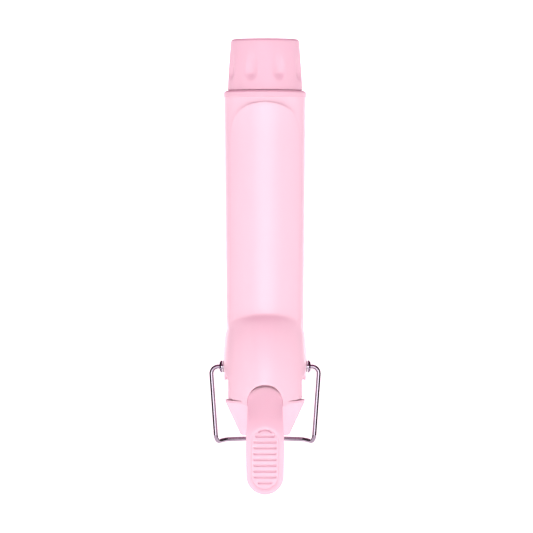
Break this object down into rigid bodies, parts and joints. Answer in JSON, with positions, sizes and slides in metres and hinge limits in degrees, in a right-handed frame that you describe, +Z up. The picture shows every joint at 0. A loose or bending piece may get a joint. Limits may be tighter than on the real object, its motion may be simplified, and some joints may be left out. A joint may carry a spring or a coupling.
{
  "type": "curling tong barrel attachment",
  "caption": "Heated hair-curling barrel head with a sprung clip and thumb lever, a cool tip, a folding wire stand and a conical coupling for a handle.",
  "frame": {"origin": "centre of the handle socket's mouth, on the cone's lower face", "axes": "+Z up the barrel to the cool tip, thumb lever on the -Y side, pivot axis along X"},
  "size_m": [0.0518, 0.0514, 0.2085],
  "materials": {
    "tip_plastic": "satin moulded",
    "plated_steel": "zinc plated",
    "barrel_coat": "smooth baked coating",
    "clip_coat": "smooth baked coating",
    "heat_plastic": "moulded, glass filled",
    "heater_aluminium": "extruded",
    "heater_ceramic": "fired",
    "mica": "pressed sheet",
    "sensor_glass": "clear bead",
    "lead_jacket": "extruded jacket",
    "neck_plastic": "satin moulded",
    "contact_brass": "turned",
    "spring_steel": "drawn wire",
    "lever_plastic": "satin moulded",
    "chrome_wire": "bright plated"
  },
  "bodies": {
    "base": {"cool_tip": "tip_plastic", "tip_collar": "tip_plastic", "tip_bracket": "plated_steel", "tip_screw": "plated_steel", "barrel": "barrel_coat", "mount_ring": "heat_plastic", "mount_screws": "plated_steel", "spreader_front": "heater_aluminium", "spreader_rear": "heater_aluminium", "heater_plate": "heater_ceramic", "insulation_front": "mica", "insulation_rear": "mica", "thermistor": "sensor_glass", "thermal_fuse": "plated_steel", "heater_lead_left": "lead_jacket", "heater_lead_right": "lead_jacket", "sensor_lead": "lead_jacket", "neck_housing": "neck_plastic", "cone_base": "neck_plastic", "base_screws": "plated_steel", "connector_block": "heat_plastic", "contact_pins": "contact_brass", "pivot_bush_left": "plated_steel", "pivot_bush_right": "plated_steel", "bush_rings": "plated_steel"},
    "clip": {"clip_blade": "clip_coat", "thumb_lever": "lever_plastic", "thumb_pad": "lever_plastic", "clip_spring": "spring_steel", "lever_studs": "plated_steel", "stud_washers": "plated_steel"},
    "stand": {"stand_wire": "chrome_wire", "stand_disc_left": "chrome_wire", "stand_disc_right": "chrome_wire"}
  },
  "joints": [
    {"name": "clip_hinge", "type": "hinge", "parent": "base", "child": "clip", "pos_m": [0, 0, 0.0317], "axis": [1, 0, 0], "range_deg": [0, 12], "stiffness_Nm_per_rad": 0.6, "springref_deg": -20.05, "deforming": ["clip_spring"]},
    {"name": "stand_hinge", "type": "hinge", "parent": "base", "child": "stand", "pos_m": [0, 0, 0.0317], "axis": [1, 0, 0], "range_deg": [0, 115]}
  ]
}
